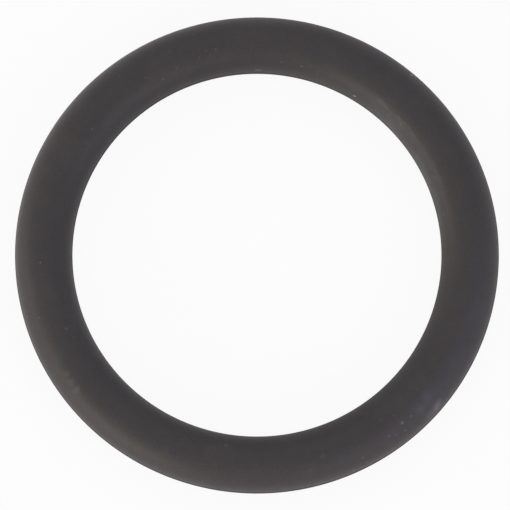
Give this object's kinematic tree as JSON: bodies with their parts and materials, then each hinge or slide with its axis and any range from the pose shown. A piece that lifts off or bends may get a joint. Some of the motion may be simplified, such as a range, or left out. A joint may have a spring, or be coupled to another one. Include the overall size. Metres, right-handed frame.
{
  "type": "o-ring",
  "caption": "Moulded black rubber o-ring of round section with a fine parting line, a seal that is stretched over a shaft or set in a groove.",
  "frame": {"origin": "centre of the ring on its middle plane", "axes": "+Z along the ring's axis; the ring lies in the XY plane"},
  "size_m": [0.0224, 0.0224, 0.0026],
  "materials": {
    "rubber": "matte moulded black rubber"
  },
  "bodies": {
    "root": {"o_ring": "rubber"}
  },
  "joints": []
}
